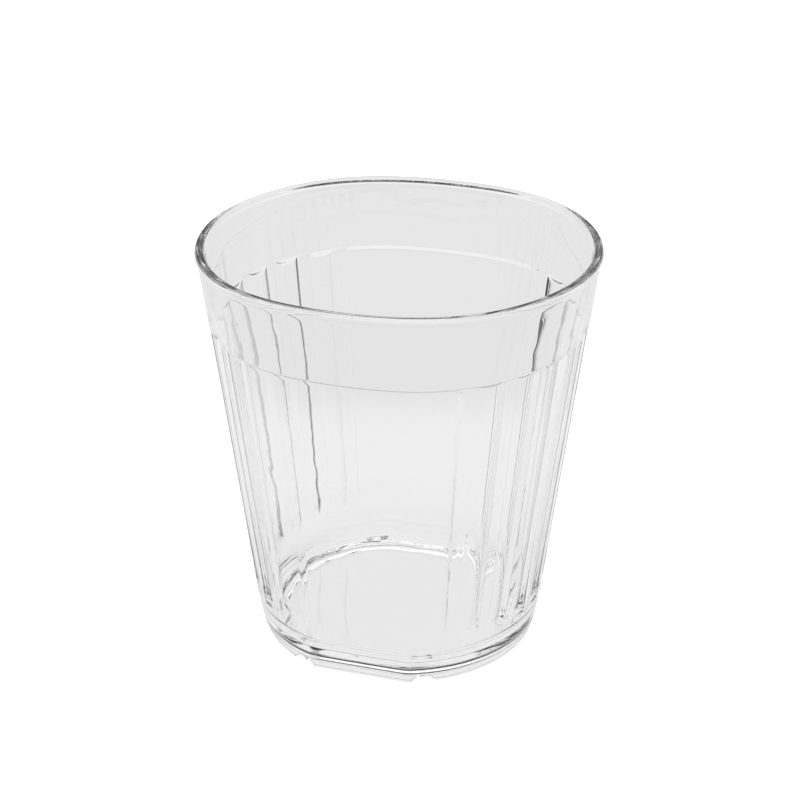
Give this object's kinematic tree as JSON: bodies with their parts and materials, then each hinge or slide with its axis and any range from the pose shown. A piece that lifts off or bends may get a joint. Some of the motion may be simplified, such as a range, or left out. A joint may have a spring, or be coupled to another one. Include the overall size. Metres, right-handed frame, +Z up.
{
  "type": "plastic tumbler cup",
  "caption": "Clear plastic tumbler moulded in one piece, with fluted sides, smooth flattened panels, a plain band under a beaded lip and a notched foot ring.",
  "frame": {"origin": "centre of the foot, on the surface that the cup stands on", "axes": "+Z up through the mouth, +Y and -Y through the smooth flattened panels, +X and -X through the fluted sides"},
  "size_m": [0.084, 0.08, 0.088],
  "materials": {
    "clear_plastic": "clear colourless rigid plastic, smooth and glossy from a polished mould"
  },
  "bodies": {
    "root": {"tumbler": "clear_plastic"}
  },
  "joints": []
}
